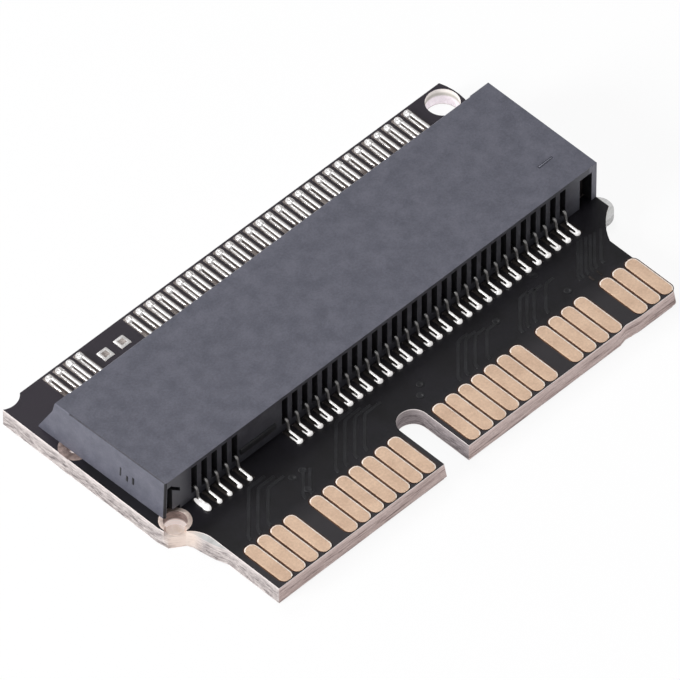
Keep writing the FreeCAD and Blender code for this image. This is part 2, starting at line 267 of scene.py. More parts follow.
def shadeSidesFacingX(tree, color, sideShadeColor):
    # Painted shade: the sides of a strip that face along X are darkened.
    place = tree.nodes.new("ShaderNodeTexCoord")
    split = tree.nodes.new("ShaderNodeSeparateXYZ")
    size = addNode(tree, "ShaderNodeMath", operation="ABSOLUTE")
    wire(tree, place.outputs["Normal"], split.inputs[0])
    wire(tree, split.outputs["X"], size.inputs[0])
    return fadeInto(tree, color, sideShadeColor, size.outputs[0], 0.5, 0.85)


def tonesUnderSpecks(tree, tones, specks):
    mixed = addNode(tree, "ShaderNodeMix", data_type="RGBA", blend_type="MULTIPLY")
    mixed.inputs["Factor"].default_value = 1
    wire(tree, tones.outputs["Color"], mixed.inputs["A"])
    wire(tree, specks.outputs["Color"], mixed.inputs["B"])
    return mixed.outputs["Result"]


def grainyFinish(look):
    # One finish: two slow tones, a fine speckle over them, and both in the roughness and relief.
    material, tree, shader = newFinish(look["name"], look["roughness"], look["metallic"])
    grain = placeGrain(tree, look["speckle"], look["mottle"], 1, look.get("stretchZ", 1))
    tones = ramp(tree, grain.outputs["Mottle"], ((0.35, look["dark"]), (0.65, look["light"])))
    specks = ramp(tree, grain.outputs["Speckle"], ((0.3, (look["speckDark"],) * 3), (0.7, (1, 1, 1))))
    color = tonesUnderSpecks(tree, tones, specks)
    if "sideShade" in look:
        color = shadeSidesFacingX(tree, color, look["sideShade"])
    for axis, start, end, other, share in look.get("grades", ()):
        color = gradeAlong(tree, color, axis, start, end, other, share)
    wire(tree, color, shader.inputs["Base Color"])
    shader.inputs["Specular IOR Level"].default_value = look.get("sheen", 0.5)
    spread = addNode(tree, "ShaderNodeMapRange")
    spread.inputs["To Min"].default_value = look["roughness"] - look["roughSpread"]
    spread.inputs["To Max"].default_value = look["roughness"] + look["roughSpread"]
    wire(tree, grain.outputs["Speckle"], spread.inputs["Value"])
    wire(tree, spread.outputs["Result"], shader.inputs["Roughness"])
    bump = addNode(tree, "ShaderNodeBump", Strength=look["bump"], Distance=look["bumpDepth"] * mm)
    wire(tree, grain.outputs["Speckle"], bump.inputs["Height"])
    wire(tree, bump.outputs["Normal"], shader.inputs["Normal"])
    return material


# Each grade is an axis, where it starts and ends along it, the colour it goes to and its share.
# The comb's rear face is painted darker than the top as painted shade, and lighter towards both end blocks
# as painted light.
combShadeLook = {
    "name": "combPaintedShade", "roughness": 0.6, "metallic": 0.0, "speckle": 12.0, "mottle": 1.6,
    "dark": (0.05, 0.05, 0.064), "light": (0.078, 0.079, 0.098), "speckDark": 0.78,
    "roughSpread": 0.06, "bump": 0.3, "bumpDepth": 0.012,
    "grades": (("X", 9.60, 10.10, (0.105, 0.107, 0.13), 1.0),
               ("X", 10.66, 10.74, (0.22, 0.22, 0.265), 1.0),
               ("X", -9.35, -9.90, (0.135, 0.137, 0.155), 1.0)),
}
# A lighter copy of the housing plastic: painted light, used for the bar on the top.
paintedLightLook = {
    "name": "plasticPaintedLight", "roughness": 0.6, "metallic": 0.0, "speckle": 14.0, "mottle": 1.6,
    "dark": (0.16, 0.162, 0.20), "light": (0.21, 0.212, 0.26), "speckDark": 0.76,
    "roughSpread": 0.06, "bump": 0.3, "bumpDepth": 0.012,
}
# Near-black painted shade for the chamfer under the left top edge and for the gate mark, lighter towards
# the front end.
seamShadeLook = {
    "name": "seamPaintedShade", "roughness": 0.65, "metallic": 0.0, "speckle": 6.0, "mottle": 2.0,
    "dark": (0.035, 0.034, 0.045), "light": (0.062, 0.061, 0.078), "speckDark": 0.7,
    "roughSpread": 0.05, "bump": 0.2, "bumpDepth": 0.01,
    "grades": (("Y", 3.36, 3.42, (0.11, 0.112, 0.145), 1.0),),
}
# Near-black painted shade for the comb slots, the pockets, the blank behind the key and the end ticks.
paintedShadeLook = {
    "name": "housingPaintedShade", "roughness": 0.7, "metallic": 0.0, "speckle": 9.0, "mottle": 1.6,
    "dark": (0.012, 0.012, 0.015), "light": (0.02, 0.02, 0.024), "speckDark": 0.8,
    "roughSpread": 0.05, "bump": 0.2, "bumpDepth": 0.01,
}
housingLook = {
    "name": "housingPlastic", "roughness": 0.55, "metallic": 0.0, "speckle": 14.0, "mottle": 1.6,
    "dark": (0.084, 0.086, 0.114), "light": (0.114, 0.115, 0.148), "speckDark": 0.76,
    "roughSpread": 0.06, "bump": 0.35, "bumpDepth": 0.012,
}
maskSheenLook = {
    "name": "blackMaskPaintedSheen", "roughness": 0.34, "metallic": 0.0, "speckle": 9.0, "mottle": 0.9,
    "dark": (0.0042, 0.0036, 0.0050), "light": (0.009, 0.008, 0.0115), "speckDark": 0.7,
    "roughSpread": 0.06, "bump": 0.25, "bumpDepth": 0.008, "sheen": 0.4,
    # painted sheen: the film is lighter towards the card edge and towards the front edge
    "grades": (("Y", -4.1, -5.1, (0.030, 0.027, 0.030), 0.8),
               ("Y", 2.5, 4.4, (0.027, 0.022, 0.030), 0.9)),
}
traceLook = {
    "name": "maskOverCopper", "roughness": 0.3, "metallic": 0.0, "speckle": 9.0, "mottle": 2.0,
    "dark": (0.008, 0.008, 0.0095), "light": (0.016, 0.016, 0.019), "speckDark": 0.75,
    "roughSpread": 0.05, "bump": 0.2, "bumpDepth": 0.006,
}
fingerLook = {
    "name": "fingerGold", "roughness": 0.5, "metallic": 0.25, "speckle": 11.0, "mottle": 1.1,
    "dark": (0.63, 0.435, 0.31), "light": (0.75, 0.535, 0.385), "speckDark": 0.82,
    "roughSpread": 0.08, "bump": 0.25, "bumpDepth": 0.006,
}
# A pale gold painted highlight for the rim faces that lean towards +X and +Y.
rimHighlightLook = {
    "name": "fingerRimPaintedHighlight", "roughness": 0.4, "metallic": 0.2, "speckle": 7.0, "mottle": 1.6,
    "dark": (0.86, 0.72, 0.63), "light": (1.0, 0.92, 0.84), "speckDark": 0.8,
    "roughSpread": 0.08, "bump": 0.2, "bumpDepth": 0.006,
}
ringLook = {
    "name": "ringGold", "roughness": 0.42, "metallic": 0.35, "speckle": 10.0, "mottle": 1.4,
    "dark": (0.64, 0.50, 0.44), "light": (0.92, 0.77, 0.69), "speckDark": 0.8,
    "roughSpread": 0.08, "bump": 0.3, "bumpDepth": 0.01,
}
# Painted reflection in the corner hole: brown high up, pale near the foot, with a painted glow.
barrelReflectionLook = {
    "name": "barrelPaintedReflection", "roughness": 0.5, "metallic": 0.2,
    "speckle": 7.0, "mottle": 2.4, "stretchZ": 3.0,
    "dark": (0.14, 0.10, 0.09), "light": (0.30, 0.22, 0.20), "speckDark": 0.6,
    "roughSpread": 0.08, "bump": 0.4, "bumpDepth": 0.015,
    "grades": (("Z", 0.44, 0.33, (0.86, 0.80, 0.79), 1.0),), "glow": 0.3,
}
# A pale sheet colour with a painted glow, standing in for the shaded floor seen through the corner hole.
holeFloorLook = {
    "name": "holeFloorPaintedShade", "roughness": 0.45, "metallic": 0.0, "speckle": 5.0, "mottle": 1.8,
    "dark": (0.60, 0.50, 0.41), "light": (0.71, 0.63, 0.60), "speckDark": 0.88,
    "roughSpread": 0.1, "bump": 0.3, "bumpDepth": 0.01, "glow": 0.3,
}
dullRingLook = {
    "name": "dullRing", "roughness": 0.5, "metallic": 0.3, "speckle": 8.0, "mottle": 3.0,
    "dark": (0.17, 0.122, 0.108), "light": (0.38, 0.285, 0.26), "speckDark": 0.65,
    "roughSpread": 0.08, "bump": 0.4, "bumpDepth": 0.01,
}
tailLook = {
    "name": "tailPlate", "roughness": 0.3, "metallic": 0.6, "speckle": 8.0, "mottle": 2.0,
    "dark": (0.88, 0.86, 0.85), "light": (0.97, 0.96, 0.96), "speckDark": 0.9,
    # The last colour is painted shade for the sides that face along X.
    "roughSpread": 0.06, "bump": 0.0, "bumpDepth": 0.004, "sideShade": (0.10, 0.08, 0.07),
}
# The rear tails: near-black painted shade inside the housing, darker painted shade up the uprights, a
# painted highlight at the knee, and darker painted shade on their sides.
rearTailShadeLook = dict(tailLook, name="rearTailPaintedShade", sideShade=(0.05, 0.042, 0.04), grades=(
    ("Z", 0.96, 1.06, (0.17, 0.165, 0.165), 0.9),
    ("Z", 1.35, 1.43, (0.6, 0.59, 0.58), 0.8),
    ("Y", -1.50, -1.38, (0.008, 0.008, 0.009), 1.0)))
# Near-white with a painted glow, for the tops of the feet.
footGlowLook = {
    "name": "footPaintedGlow", "roughness": 0.3, "metallic": 0.3, "speckle": 8.0, "mottle": 2.0,
    "dark": (0.84, 0.83, 0.82), "light": (1.0, 0.99, 0.98), "speckDark": 0.9,
    "roughSpread": 0.06, "bump": 0.0, "bumpDepth": 0.004, "glow": 0.4,
}
# Rear solder with a painted glow.
rearSolderGlowLook = {
    "name": "solderPaintedGlow", "roughness": 0.24, "metallic": 0.4, "speckle": 5.0, "mottle": 2.6,
    "dark": (0.82, 0.80, 0.79), "light": (1.0, 0.99, 0.98), "speckDark": 0.85,
    "roughSpread": 0.07, "bump": 0.1, "bumpDepth": 0.004, "glow": 0.5,
}
solderLook = {
    "name": "solderTin", "roughness": 0.24, "metallic": 0.55, "speckle": 5.0, "mottle": 2.6,
    "dark": (0.80, 0.77, 0.76), "light": (0.97, 0.96, 0.95), "speckDark": 0.85,
    "roughSpread": 0.07, "bump": 0.1, "bumpDepth": 0.004,
}
padLook = {
    "name": "padTin", "roughness": 0.42, "metallic": 0.35, "speckle": 9.0, "mottle": 2.2,
    "dark": (0.13, 0.105, 0.098), "light": (0.34, 0.30, 0.28), "speckDark": 0.75,
    "roughSpread": 0.08, "bump": 0.4, "bumpDepth": 0.012,
}
# Near-black tin as painted shade, for the rear pads, the slivers and the hold-downs.
rearPadShadeLook = {
    "name": "padTinPaintedShade", "roughness": 0.6, "metallic": 0.1, "speckle": 9.0, "mottle": 2.2,
    "dark": (0.014, 0.011, 0.010), "light": (0.04, 0.032, 0.029), "speckDark": 0.75, "sheen": 0.25,
    "roughSpread": 0.08, "bump": 0.3, "bumpDepth": 0.01,
}
etchLook = {
    "name": "etchedGap", "roughness": 0.45, "metallic": 0.0, "speckle": 10.0, "mottle": 2.0,
    "dark": (0.075, 0.034, 0.018), "light": (0.15, 0.075, 0.042), "speckDark": 0.7,
    "roughSpread": 0.05, "bump": 0.2, "bumpDepth": 0.006, "sheen": 0.2,
    "grades": (("Y", -6.22, -6.30, (0.022, 0.008, 0.004), 0.9),
               ("Y", -4.85, -4.60, (0.03, 0.011, 0.006), 0.85)),
}

finishes = {}
for look in (
        housingLook, combShadeLook, paintedLightLook, seamShadeLook, paintedShadeLook, maskSheenLook, traceLook, fingerLook,
        rimHighlightLook, ringLook, dullRingLook, tailLook, rearTailShadeLook, solderLook, padLook,
        rearPadShadeLook, etchLook):
    finishes[look["name"]] = grainyFinish(look)

edgeLook = {
    "name": "sawnLaminate", "roughness": 0.75, "glow": 0.85,
    "dark": (0.065, 0.055, 0.056), "middle": (0.20, 0.175, 0.172), "light": (0.35, 0.318, 0.308),
    "top": (0.45, 0.412, 0.398),
}
# Lighter, warmer laminate for the walls that face -Y: painted light.
rearEdgeLightLook = {
    "name": "sawnLaminateRearPaintedLight", "roughness": 0.75, "glow": 0.85,
    "dark": (0.105, 0.075, 0.070), "middle": (0.265, 0.20, 0.187), "light": (0.36, 0.29, 0.275),
    "top": (0.44, 0.355, 0.335),
}
# Darker laminate for the walls of the notch: painted shade.
notchEdgeShadeLook = {
    "name": "sawnLaminateNotchPaintedShade", "roughness": 0.75, "glow": 0.8,
    "dark": (0.06, 0.05, 0.052), "middle": (0.125, 0.105, 0.108), "light": (0.19, 0.165, 0.168),
    "top": (0.26, 0.23, 0.23),
}
# Pale laminate for the film's cut sides: a painted highlight along the film edge.
rimEdgeHighlightLook = {
    "name": "sawnRimPaintedHighlight", "roughness": 0.75, "glow": 0.85,
    "dark": (0.30, 0.27, 0.265), "middle": (0.42, 0.385, 0.375), "light": (0.52, 0.485, 0.475),
    "top": (0.52, 0.485, 0.475),
}
tabLook = {
    "name": "brokenTab", "roughness": 0.75, "glow": 0.85,
    "dark": (0.15, 0.148, 0.145), "middle": (0.28, 0.28, 0.277), "light": (0.37, 0.37, 0.366),
    "top": (0.335, 0.334, 0.33),
}
laminateGrain = {
    "plies": (3.0, 1.3, 0.35, 4.5),   # speckle and mottle per millimetre, stretch along X and Z
    "fluff": (16.0, 3.0, 0.6, 1.6), "fluffDark": 0.72,
    "topFrom": 0.50, "topFull": 0.78, "topShare": 0.6, "bump": 0.7, "bumpDepth": 0.03,
    "paleLip": ((-10.6, -2.25, 0.5), 0.4, 0.8, (0.40, 0.335, 0.295), 0.8),   # under the corner ring
}


def laminateFinish(look):
    # Glass cloth seen on edge: plies along the board, torn short across it, paler at the top.
    material, tree, shader = newFinish(look["name"], look["roughness"], 0.0)
    grain = laminateGrain
    plies = placeGrain(tree, *grain["plies"])
    fluff = placeGrain(tree, *grain["fluff"])
    tones = ramp(tree, plies.outputs["Speckle"], (
        (0.32, look["dark"]), (0.46, look["middle"]), (0.66, look["light"])))
    specks = ramp(tree, fluff.outputs["Speckle"], (
        (0.3, (grain["fluffDark"],) * 3), (0.6, (1, 1, 1))))
    color = tonesUnderSpecks(tree, tones, specks)
    color = gradeAlong(tree, color, "Z", grain["topFrom"], grain["topFull"], look["top"], grain["topShare"])
    color = gradeRound(tree, color, *grain["paleLip"])
    wire(tree, color, shader.inputs["Base Color"])
    wire(tree, color, shader.inputs["Emission Color"])   # painted glow, standing in for the light that the resin lets through from behind
    shader.inputs["Emission Strength"].default_value = look["glow"]
    bump = addNode(tree, "ShaderNodeBump", Strength=grain["bump"], Distance=grain["bumpDepth"] * mm)
    wire(tree, plies.outputs["Speckle"], bump.inputs["Height"])
    wire(tree, bump.outputs["Normal"], shader.inputs["Normal"])
    return material


# The bores' walls: painted shading, pale and glowing low down, a dark band near half height, lighter again
# near the top.
holeWallShadingLook = {
    "name": "drilledWallPaintedShading", "roughness": 0.7, "metallic": 0.0, "speckle": 9.0, "mottle": 2.0,
    "dark": (0.66, 0.60, 0.64), "light": (0.76, 0.71, 0.745), "speckDark": 0.85,
    "roughSpread": 0.05, "bump": 0.3, "bumpDepth": 0.01, "glow": 0.5,
    "grades": (("Z", 0.40, 0.50, (0.30, 0.29, 0.25), 0.85),
               ("Z", 0.56, 0.68, (0.60, 0.57, 0.54), 1.0)),
}


def paintedGlowFinish(look):
    # The colour is also given off as light: a painted glow.
    material = grainyFinish(look)
    shader = material.node_tree.nodes["Principled BSDF"]
    color = shader.inputs["Base Color"].links[0].from_socket
    wire(material.node_tree, color, shader.inputs["Emission Color"])
    shader.inputs["Emission Strength"].default_value = look["glow"]
    return material


for look in (holeWallShadingLook, barrelReflectionLook, holeFloorLook, footGlowLook, rearSolderGlowLook):
    finishes[look["name"]] = paintedGlowFinish(look)
for look in (edgeLook, rearEdgeLightLook, notchEdgeShadeLook, rimEdgeHighlightLook, tabLook):
    finishes[look["name"]] = laminateFinish(look)
print("finishes made:", len(finishes))


def selectOnly(piece):
    if bpy.context.object and bpy.context.object.mode == "EDIT":
        bpy.ops.object.mode_set(mode="OBJECT")
    bpy.ops.object.select_all(action="DESELECT")
    piece.select_set(True)
    bpy.context.view_layer.objects.active = piece


def startEdit(piece):
    selectOnly(piece)
    bpy.ops.object.mode_set(mode="EDIT")


def endEdit():
    bpy.ops.object.mode_set(mode="OBJECT")


def pickFaces(piece, wanted):
    bpy.ops.mesh.select_mode(type="FACE")
    bpy.ops.mesh.select_all(action="DESELECT")
    mesh = bmesh.from_edit_mesh(piece.data)
    for face in mesh.faces:
        face.select_set(wanted(face))
    bmesh.update_edit_mesh(piece.data)


def pickEdges(piece, wanted):
    bpy.ops.mesh.select_mode(type="EDGE")
    bpy.ops.mesh.select_all(action="DESELECT")
    mesh = bmesh.from_edit_mesh(piece.data)
    for edge in mesh.edges:
        edge.select_set(wanted(edge.verts[0].co, edge.verts[1].co))
    bmesh.update_edit_mesh(piece.data)


def pickVertices(piece, wanted):
    bpy.ops.mesh.select_mode(type="VERT")
    bpy.ops.mesh.select_all(action="DESELECT")
    mesh = bmesh.from_edit_mesh(piece.data)
    for vertex in mesh.verts:
        vertex.select_set(wanted(vertex.co))
    bmesh.update_edit_mesh(piece.data)


def pickTop(piece):
    pickFaces(piece, lambda face: face.normal.z > 0.9)


def moveBy(x, y, z):
    # Moves what is picked, in millimetres.
    bpy.ops.transform.translate(value=(x * mm, y * mm, z * mm))


def stepFaces(steps):
    # Insets the picked faces and lifts them, step by step, in millimetres.
    for inset, lift in steps:
        bpy.ops.mesh.inset(thickness=inset * mm)
        moveBy(0, 0, lift)


def addBlock(name, low, high):
    # A block between two corners given in millimetres, ready to be shaped.
    bpy.ops.object.select_all(action="DESELECT")
    low, high = Vector(low) * mm, Vector(high) * mm
    bpy.ops.mesh.primitive_cube_add(size=1, location=(low + high) / 2, scale=high - low)
    bpy.ops.object.transform_apply(location=True, rotation=True, scale=True)
    block = bpy.context.object
    block.name = name
    return block


def addDisc(name, middle, radius, depth, corners):
    bpy.ops.object.select_all(action="DESELECT")
    bpy.ops.mesh.primitive_cylinder_add(
        vertices=corners, radius=radius * mm, depth=depth * mm, location=Vector(middle) * mm)
    bpy.ops.object.transform_apply(location=True, rotation=True, scale=True)
    disc = bpy.context.object
    disc.name = name
    return disc


def copyOfNode(nodeName, name):
    # The solid's own surface with its loose facets merged, to be dressed further.
    selectOnly(nodes[nodeName])
    bpy.ops.object.duplicate()
    piece = bpy.context.object
    piece.name = name
    piece.parent = None
    for key in list(piece.keys()):
        del piece[key]
    piece.data.materials.clear()
    startEdit(piece)
    bpy.ops.mesh.select_all(action="SELECT")
    bpy.ops.mesh.remove_doubles(threshold=sameSpot)
    bpy.ops.mesh.dissolve_limited(angle_limit=math.radians(0.5))
    bpy.ops.mesh.normals_make_consistent(inside=False)
    endEdit()
    return piece


def applyModifier(piece, kind, **settings):
    selectOnly(piece)
    modifier = piece.modifiers.new(kind.lower(), kind)
    for key, value in settings.items():
        setattr(modifier, key, value)
    bpy.ops.object.modifier_apply(modifier=modifier.name)


def softenEdges(piece, width, segments=2, angle=35):
    applyModifier(piece, "BEVEL", width=width * mm, segments=segments, limit_method="ANGLE",
                  angle_limit=math.radians(angle), use_clamp_overlap=True)


def smooth(piece, angle=40):
    selectOnly(piece)
    bpy.ops.object.shade_smooth_by_angle(angle=math.radians(angle))
    applyModifier(piece, "WEIGHTED_NORMAL", keep_sharp=True)   # flat faces stay flat beside round edges


def copyPiece(piece, shift):
    selectOnly(piece)
    bpy.ops.object.duplicate()
    bpy.ops.transform.translate(value=Vector(shift) * mm)
    bpy.ops.object.transform_apply(location=True, rotation=False, scale=False)
    return bpy.context.object


def joinPieces(parts, name):
    bpy.ops.object.select_all(action="DESELECT")
    for part in parts:
        part.select_set(True)
    bpy.context.view_layer.objects.active = parts[0]
    if len(parts) > 1:
        bpy.ops.object.join()
    joined = bpy.context.object
    joined.name = name
    return joined


def rowOf(piece, places, name):
    copies = [copyPiece(piece, (x, 0, 0)) for x in places]
    bpy.data.objects.remove(piece)
    return joinPieces(copies, name)


def finishPiece(piece, finish, slotName, *replaced):
    if finish and not piece.data.materials:
        piece.data.materials.append(finishes[finish])
    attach(piece, "root")
    if replaced:
        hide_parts(*replaced)


def within(value, span):
    return span[0] < value < span[1]


def paintFaces(piece, finish, wanted):
    # Gives a second finish to the faces picked by their middle, in millimetres, and normal.
    piece.data.materials.append(finishes[finish])
    index = len(piece.data.materials) - 1
    for face in piece.data.polygons:
        if wanted(face.center / mm, face.normal):
            face.material_index = index


def sweepBar(name, path, axis, across, through, radius, steps=3):
    # A bar of rectangular section swept along a bent path that lies square to the axis. Its size
    # is across along the axis and through square to both.
    points = [Vector(point) * mm for point in path]
    axis = Vector(axis)
    across, through, radius = across * mm, through * mm, radius * mm
    runs = [(b - a).normalized() for a, b in zip(points, points[1:])]
    turns = [math.atan2(a.cross(b).dot(axis), a.dot(b)) for a, b in zip(runs, runs[1:])] + [0]
    cuts = [radius * math.tan(abs(turn) / 2) for turn in turns]
    length = (points[1] - points[0]).length - cuts[0]
    side = axis.cross(runs[0])
    turned = Matrix((axis, runs[0], side)).transposed()
    bpy.ops.object.select_all(action="DESELECT")
    bpy.ops.mesh.primitive_cube_add(
        size=1, location=points[0] + runs[0] * length / 2,
        rotation=turned.to_euler(), scale=(across, length, through))
    bpy.ops.object.transform_apply(location=True, rotation=True, scale=True)
    bar = bpy.context.object
    bar.name = name
    end = points[0] + runs[0] * length
    startEdit(bar)
    pickFaces(bar, lambda face: (face.calc_center_median() - end).length < hair)
    for index, turn in enumerate(turns):
        if index > 0:
            whole = (points[index + 1] - points[index]).length
            run = runs[index] * (whole - cuts[index - 1] - cuts[index])
            bpy.ops.mesh.extrude_region_move(TRANSFORM_OT_translate={"value": run})
            end = end + run
        if abs(turn) > 1e-4:
            inward = axis.cross(runs[index]) * math.copysign(radius, turn)
            centre = end + inward
            bpy.ops.mesh.spin(steps=steps, angle=-turn, center=centre, axis=axis, dupli=False)
            end = centre + Matrix.Rotation(turn, 3, axis) @ (end - centre)
    bpy.ops.mesh.select_all(action="SELECT")
    bpy.ops.mesh.remove_doubles(threshold=sameSpot)
    bpy.ops.mesh.normals_make_consistent(inside=False)
    endEdit()
    return bar


finger = {
    "width": 0.548, "span": (-6.46, -4.32), "heights": (0.77, 0.818),
    "endSteps": 4, "endShare": 0.84, "rim": 0.043, "rimFrom": 0.8, "rimLean": 0.05,
    "pitch": 0.65, "leftStart": -9.465, "rightStart": -0.075,
    "underHeights": (0.0, 0.031),
    "gapBeyond": 0.045, "gapEnd": -6.48, "gapHeights": (0.775, 0.8035),
}
fingerRows = {
    "LeftOuter": ("leftStart", range(0, 4), "top_fingers_left_outer"),
    "LeftInner": ("leftStart", range(5, 12), "top_fingers_left_inner"),
    "RightInner": ("rightStart", range(0, 7), "top_fingers_right_inner"),
    "RightMiddle": ("rightStart", range(8, 12), "top_fingers_right_middle"),
    "RightOuter": ("rightStart", range(13, 16), "top_fingers_right_outer"),
}
underRows = {
    "Left": ("leftStart", range(12), "bottom_fingers_left"),
    "Right": ("rightStart", range(16), "bottom_fingers_right"),
}


def roundEndedBar(name, width, span, heights, steps, rim, share=0.998):
    # A flat bar with rounded ends and a low rim round its top, centred on X = 0.
    half = width / 2
    bar = addBlock(name, (-half, span[0], heights[0]), (half, span[1], heights[1]))
    startEdit(bar)
    pickEdges(bar, lambda a, b: abs(a.z - b.z) > hair)
    bpy.ops.mesh.bevel(offset=half * share * mm, segments=steps, affect="EDGES")
    if rim:
        pickTop(bar)
        stepFaces(((rim, 0.12 * rim),))
    endEdit()
    return bar


def makeFingers(look):
    for row, (start, positions, node) in fingerRows.items():
        places = [look[start] + position * look["pitch"] for position in positions]
        bar = roundEndedBar("fingerBar", look["width"], look["span"], look["heights"],
                            look["endSteps"], look["rim"], look["endShare"])
        bank = rowOf(bar, places, "fingers" + row)
        smooth(bank, 5)
        bank.data.materials.append(finishes["fingerGold"])
        # The rim faces that lean towards +X and +Y take the painted highlight.
        paintFaces(bank, "fingerRimPaintedHighlight", lambda middle, normal: middle.z > look["rimFrom"]
                   and max(normal.x, normal.y) > look["rimLean"])
        finishPiece(bank, None, "gold", node)
        wide = look["gapBeyond"]
        gapSpan = (max(look["span"][0] - wide, look["gapEnd"]), look["span"][1] + wide)
        gap = roundEndedBar("etchBar", look["width"] + 2 * wide, gapSpan, look["gapHeights"],
                            look["endSteps"], 0, look["endShare"])
        gaps = rowOf(gap, places, "etch" + row)
        smooth(gaps)
        finishPiece(gaps, "etchedGap", "mask")
    for side, (start, positions, node) in underRows.items():
        places = [look[start] + position * look["pitch"] for position in positions]
        bar = roundEndedBar("fingerBar", look["width"], look["span"], look["underHeights"],
                            look["endSteps"], 0)
        bank = rowOf(bar, places, "underFingers" + side)
        smooth(bank)
        finishPiece(bank, "fingerGold", "gold", node)


makeFingers(finger)
print("fingers made")


boardCore = {
    "round": 0.02, "bareTop": 0.74, "bareUnder": 0.05,
    "burr": {"shift": 0.14, "z": 0.05, "y": -6.2, "end": 9.7, "notch": (-2.0, -1.6)},
    "notch": {"x": (-1.88, -0.48), "y": (-6.45, -3.5)},
    "tab": {"x": 10.35, "y": (-2.6, -1.15)},
    "hole": {"place": (10.42, 5.75), "reach": 0.68},
}
films = {"solder_mask_top": "maskTop", "solder_mask_bottom": "maskUnder"}
rings = {
    "sideRing": {"node": "side_ring", "place": (-10.51, 3.28), "reach": 0.6, "finish": "dullRing"},
    "cornerRing": {"node": "shoulder_half_hole", "place": (-10.39, -1.67), "reach": 0.6,
                   "finish": "ringGold"},
}
ringRound = 0.012
holeFloorSheet = {
    "middle": (-10.39, -1.67, 0.07), "radius": 0.45, "depth": 0.03, "corners": 40,
    "sag": ((0.06, -0.006), (0.10, -0.004), (0.12, -0.002)),
}


def facesAxis(middle, normal, hole):
    # A wall within reach of the hole's axis that looks towards it.
    away = (middle.x - hole["place"][0], middle.y - hole["place"][1])
    across = math.hypot(*away)
    return across < hole["reach"] and away[0] * normal.x + away[1] * normal.y < -0.7 * across


def makeCore(look):
    board = copyOfNode("board_laminate", "boardCore")
    burr, notch, tab = look["burr"], look["notch"], look["tab"]
    startEdit(board)   # two corners of the tongue broke away with a burr along their feet
    pickVertices(board, lambda place: place.z < burr["z"] * mm and place.y < burr["y"] * mm and (
        place.x > burr["end"] * mm or within(place.x / mm, burr["notch"])))
    moveBy(burr["shift"], 0, 0)
    endEdit()
    softenEdges(board, look["round"], 1)
    smooth(board)
    board.data.materials.append(finishes["sawnLaminate"])
    paintFaces(board, "etchedGap", lambda middle, normal: normal.z < -0.9
               and middle.z < look["bareUnder"])   # what shows between the bottom fingers
    # The walls that face -Y take the painted light.
    paintFaces(board, "sawnLaminateRearPaintedLight", lambda middle, normal: normal.y < -0.6)
    # The notch walls take the painted shade.
    paintFaces(board, "sawnLaminateNotchPaintedShade", lambda middle, normal: within(middle.x, notch["x"])
               and within(middle.y, notch["y"]) and abs(normal.z) < 0.5)
    paintFaces(board, "brokenTab", lambda middle, normal:
               (normal.z > 0.9 and middle.z > look["bareTop"])
               or (middle.x > tab["x"] and within(middle.y, tab["y"])))
    # The bores' walls take the painted shading.
    paintFaces(board, "drilledWallPaintedShading", lambda middle, normal: facesAxis(middle, normal, look["hole"]))
    finishPiece(board, None, "laminate", "board_laminate")


def makeFilms():
    for nodeName, name in films.items():
        film = copyOfNode(nodeName, name)
        smooth(film)
        film.data.materials.append(finishes["blackMaskPaintedSheen"])
        # The film's cut sides take the painted highlight.
        paintFaces(film, "sawnRimPaintedHighlight", lambda middle, normal: abs(normal.z) < 0.5)
        finishPiece(film, None, "mask", nodeName)


def makeRings():
    for name, look in rings.items():
        ring = copyOfNode(look["node"], name)
        softenEdges(ring, ringRound)
        smooth(ring)
        ring.data.materials.append(finishes[look["finish"]])
        # The bores take the painted reflection and glow.
        paintFaces(ring, "barrelPaintedReflection", lambda middle, normal: facesAxis(middle, normal, look))
        finishPiece(ring, None, "gold", look["node"])


def makeHoleFloorSheet(look):
    # A pale sheet across the foot of the plated corner hole, sagging a little in the middle: it stands in
    # for the shaded floor seen through the hole, with a painted glow.
    skin = addDisc("holeFloorSheet", look["middle"], look["radius"], look["depth"], look["corners"])
    startEdit(skin)
    pickTop(skin)
    stepFaces(look["sag"])
    endEdit()
    smooth(skin, 60)
    finishPiece(skin, "holeFloorPaintedShade", "gold")


makeCore(boardCore)
makeFilms()
makeRings()
makeHoleFloorSheet(holeFloorSheet)
print("board made")


traces = {
    "width": 0.13, "rise": 0.011, "under": 0.012, "bend": 0.3, "foot": 0.16, "round": 0.008,
    # x minus y of each slanting run, where they start and turn in y, the step from one turn
    # to the next, and how far they go on along X
    "groups": (
        ((-5.07, -4.60, -4.10), -4.22, -2.42, -0.24, 0.8),
        ((-0.72, -0.27, 0.23, 0.72), -4.15, -2.40, -0.15, 0.8),
        ((5.41, 5.80, 6.27, 6.87), -4.15, -2.75, -0.12, 0.5),
        ((8.54, 8.89, 9.25, 9.85), -4.10, -2.85, -0.06, 0.4),
        ((11.48, 11.65, 11.89, 12.11, 12.33, 12.65), -3.80, -2.40, -0.03, 0.0),
        ((-2.35, -2.02), -4.20, -3.15, -0.12, 0.0),
    ),
}
vias = {
    "radius": 0.15, "rise": 0.014, "depth": 0.03, "corners": 16,
    "dimple": ((0.03, 0.006), (0.05, -0.014)),
    "places": ((-6.04, -3.16), (-5.55, -3.16), (-6.04, -3.93), (0.26, -3.24), (-0.1, -3.62),
               (4.3, -3.05), (6.8, -2.45), (7.14, -3.82)),
}
slivers = {
    "width": 0.08, "length": 0.3, "heights": (0.79, 0.812), "endSteps": 3, "rim": 0.01,
    "places": ((8.54, -4.02), (8.16, -4.01)),
}


